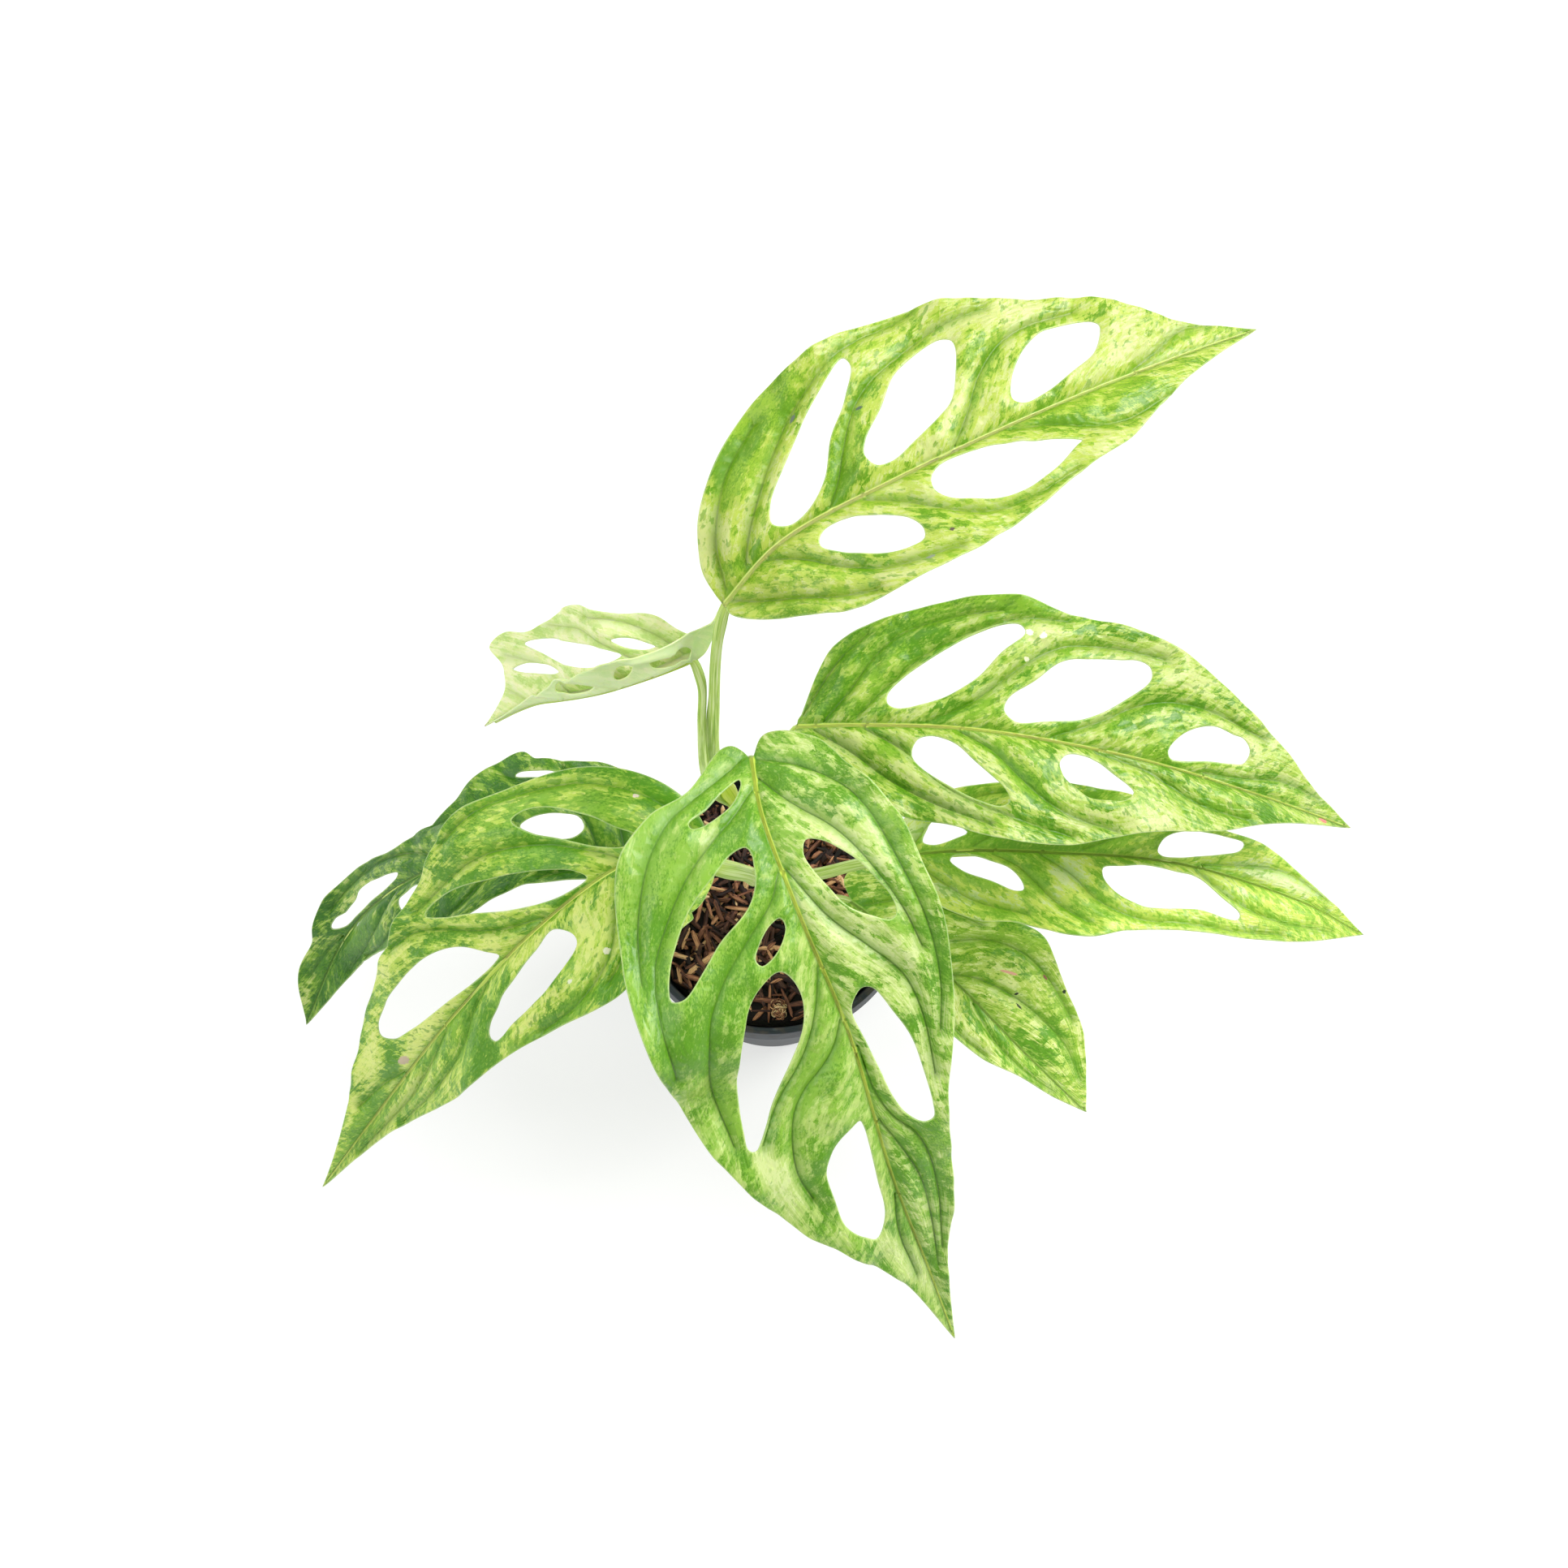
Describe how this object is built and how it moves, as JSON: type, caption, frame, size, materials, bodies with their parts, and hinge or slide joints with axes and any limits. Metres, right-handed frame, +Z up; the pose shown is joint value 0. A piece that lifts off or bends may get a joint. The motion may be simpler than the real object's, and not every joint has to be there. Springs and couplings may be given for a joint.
{
  "type": "potted foliage plant",
  "caption": "Young climbing vine in a small round tapered nursery pot of bark mix: a short leaning stem with long-stalked, arching, pointed leaves pierced by oval holes.",
  "frame": {"origin": "middle of the pot's foot, on the plane that it rests on", "axes": "+Z up along the pot's axis, +X to the right-hand leaves, -Y to the hanging front leaf"},
  "size_m": [0.3451, 0.2683, 0.2763],
  "materials": {
    "pot_plastic": "satin, blue-black",
    "bark_mix": "rough, moist bark chips",
    "green_stem": "smooth living stem",
    "lime_leaf": "satin living leaf, mostly lime and yellow",
    "young_leaf": "soft pale young leaf",
    "mottled_leaf": "satin living leaf, green mottled with lime",
    "deep_leaf": "satin living leaf, darker green mottled with lime"
  },
  "bodies": {
    "root": {"pot": "pot_plastic", "soil": "bark_mix", "stem": "green_stem", "leaf_top": "lime_leaf", "leaf_young": "young_leaf", "leaf_right_back": "mottled_leaf", "leaf_right": "mottled_leaf", "leaf_round": "mottled_leaf", "leaf_front": "mottled_leaf", "leaf_left": "mottled_leaf", "leaf_left_low": "deep_leaf"}
  },
  "joints": []
}
